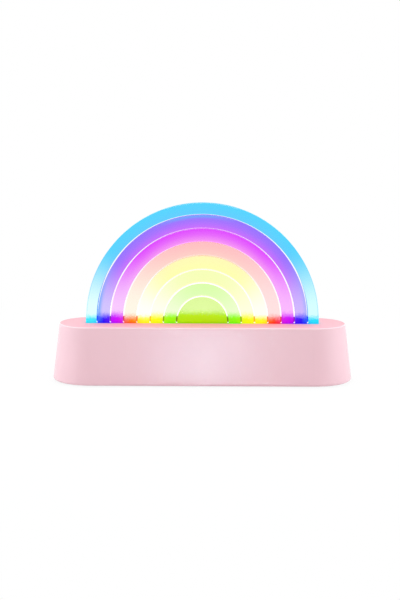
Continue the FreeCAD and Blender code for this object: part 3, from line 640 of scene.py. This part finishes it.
def slot_materials():
    """The material of each material slot in the record."""
    return {
        "shell_pink": shell_plastic(),
        "button_pink": moulded_plastic("button_pink", BUTTON_PINK, roughness=0.38),
        "lit_acrylic": lit_acrylic(),
        "clear_acrylic": clear_acrylic(),
        "white_plastic": moulded_plastic("white_plastic", srgb(240, 240, 236), roughness=0.5),
        "black_plastic": moulded_plastic("black_plastic", srgb(36, 36, 38), roughness=0.45),
        "white_board": circuit_board("white_board", srgb(236, 237, 232), track_colour=srgb(214, 206, 180)),
        "green_board": circuit_board("green_board", srgb(20, 92, 52), track_colour=srgb(46, 128, 78)),
        "lamp_case": moulded_plastic("lamp_case", srgb(246, 240, 206), roughness=0.3),
        "adhesive": soft_rubber("adhesive", srgb(206, 206, 198)),
        "cell_wrap": brushed_metal("cell_wrap", srgb(196, 200, 206), roughness=0.3),
        "capacitor_can": brushed_metal("capacitor_can", srgb(84, 88, 104), roughness=0.3),
        "steel": brushed_metal("steel", srgb(200, 200, 202), roughness=0.25),
        "foot_rubber": soft_rubber("foot_rubber", srgb(226, 214, 214)),
        "lead_red": soft_rubber("lead_red", srgb(196, 30, 30)),
        "lead_black": soft_rubber("lead_black", srgb(34, 34, 34)),
        "lead_white": soft_rubber("lead_white", srgb(232, 232, 228)),
    }


def dress_nodes():
    """Gives each node of the frame the material of its slot."""
    materials = slot_materials()
    for part in frame["record"]["subparts"]:
        mesh = frame["nodes"][part["node"]].data
        mesh.materials.clear()
        mesh.materials.append(materials[part["material_slot"]])


# Stage

def white_for_viewer(tree, shown, lighting):
    """Mixes two shaders: one for what the camera, gloss and glass see, the other for light on surfaces."""
    path = tree.nodes.new("ShaderNodeLightPath")
    seen = path.outputs["Is Camera Ray"]
    for name in ("Is Glossy Ray", "Is Transmission Ray"):
        either = tree.nodes.new("ShaderNodeMath")
        either.operation = "MAXIMUM"
        tree.links.new(seen, either.inputs[0])
        tree.links.new(path.outputs[name], either.inputs[1])
        seen = either.outputs[0]
    mix = tree.nodes.new("ShaderNodeMixShader")
    tree.links.new(seen, mix.inputs[0])
    tree.links.new(lighting, mix.inputs[1])
    tree.links.new(shown, mix.inputs[2])
    return mix.outputs[0]


def make_world():
    """A background that is white to the viewer, and lights the object at a lower level."""
    world = bpy.data.worlds.new("studio")
    bpy.context.scene.world = world
    world.use_nodes = True
    tree = world.node_tree
    tree.nodes.clear()
    backgrounds = []
    for strength in (1.0, AMBIENT):
        node = tree.nodes.new("ShaderNodeBackground")
        node.inputs["Color"].default_value = WHITE
        node.inputs["Strength"].default_value = strength
        backgrounds.append(node.outputs[0])
    output = tree.nodes.new("ShaderNodeOutputWorld")
    tree.links.new(white_for_viewer(tree, *backgrounds), output.inputs[0])


def make_floor():
    """A white floor that stays white to the viewer, and keeps a soft shadow round the object."""
    bpy.ops.mesh.primitive_plane_add(size=FLOOR_SIZE)
    floor = bpy.context.object
    floor.name = "floor"
    look = Shading("floor")
    look.set(Base_Color=FLOOR_COLOUR, Roughness=FLOOR_ROUGHNESS, Specular_IOR_Level=0.0)
    x, y, z = look.place()
    share = (x * x + y * y).root().rise(*SHADOW_REACH).between(FLOOR_WHITE, 1.0)
    lit = look.principled.outputs[0]
    white = look.add("ShaderNodeEmission", WHITE, 1.0).outputs[0]
    shown = look.add("ShaderNodeMixShader", share)
    look.tree.links.new(lit, shown.inputs[1])
    look.tree.links.new(white, shown.inputs[2])
    surface = white_for_viewer(look.tree, shown.outputs[0], lit)
    look.tree.links.new(surface, look.tree.nodes["Material Output"].inputs["Surface"])
    floor.data.materials.append(look.material)


def soft_box(name, place, target, size, power, colour=LAMP_WHITE, spread=FULL_SPREAD, mirrored=True):
    """A rectangular lamp at a place, turned to a target, with its beam's width in degrees."""
    lamp = bpy.data.lights.new(name, "AREA")
    lamp.shape = "RECTANGLE"
    lamp.size, lamp.size_y = size
    lamp.energy = power
    lamp.color = colour
    lamp.spread = math.radians(spread)
    holder = bpy.data.objects.new(name, lamp)
    bpy.context.collection.objects.link(holder)
    holder.visible_glossy = mirrored
    holder.visible_transmission = False
    holder.location = place
    holder.rotation_euler = (Vector(target) - Vector(place)).to_track_quat("-Z", "Y").to_euler()


def make_lamps():
    """A narrow strip that draws the sheen on the base's front, and soft light from all sides."""
    soft_box("strip", place=(0.0, -1.1, 0.09), target=(0.0, 0.0, 0.025), size=(0.03, 0.14), power=0.0038,
             colour=COOL_STRIP, spread=10.0)
    soft_box("front", place=(0.0, -1.4, 0.9), target=(0.0, 0.0, 0.05), size=(1.2, 0.6), power=2.5)
    for name, side in (("left", -1), ("right", 1)):
        soft_box(name, place=(side * 0.85, -0.14, 0.3), target=(side * 0.1, 0.0, 0.03), size=(1.0, 0.5),
                 power=6.5, colour=COOL_WHITE, mirrored=False)
    soft_box("above", place=(0.0, 0.1, 1.3), target=(0.0, 0.0, 0.05), size=(1.0, 1.0), power=5.9)
    soft_box("rear", place=(0.0, 1.4, 0.9), target=(0.0, 0.0, 0.05), size=(1.2, 0.6), power=3.0,
             mirrored=False)


def make_camera():
    """The photograph's view, from a little above and a trace to the right."""
    camera = bpy.data.cameras.new("camera")
    camera.sensor_fit = "HORIZONTAL"
    camera.sensor_width = SENSOR_WIDTH
    camera.lens = FOCAL_PIXELS / IMAGE_WIDTH * SENSOR_WIDTH
    camera.clip_start = CLIP_START
    holder = bpy.data.objects.new("camera", camera)
    bpy.context.collection.objects.link(holder)
    level = math.cos(CAMERA_ELEVATION)
    above = math.sin(CAMERA_ELEVATION)
    back = Vector((level * math.sin(CAMERA_ASIDE), -level * math.cos(CAMERA_ASIDE), above))
    turn = (-back).to_track_quat("-Z", "Y").to_matrix().to_4x4()
    place = Matrix.Translation(LOOK_AT + back * CAMERA_DISTANCE)
    holder.matrix_world = place @ turn @ Matrix.Rotation(CAMERA_ROLL, 4, "Z")
    bpy.context.scene.camera = holder


bpy.context.scene.view_settings.view_transform = "Standard"
dress_nodes()
make_world()
make_floor()
make_camera()
make_lamps()
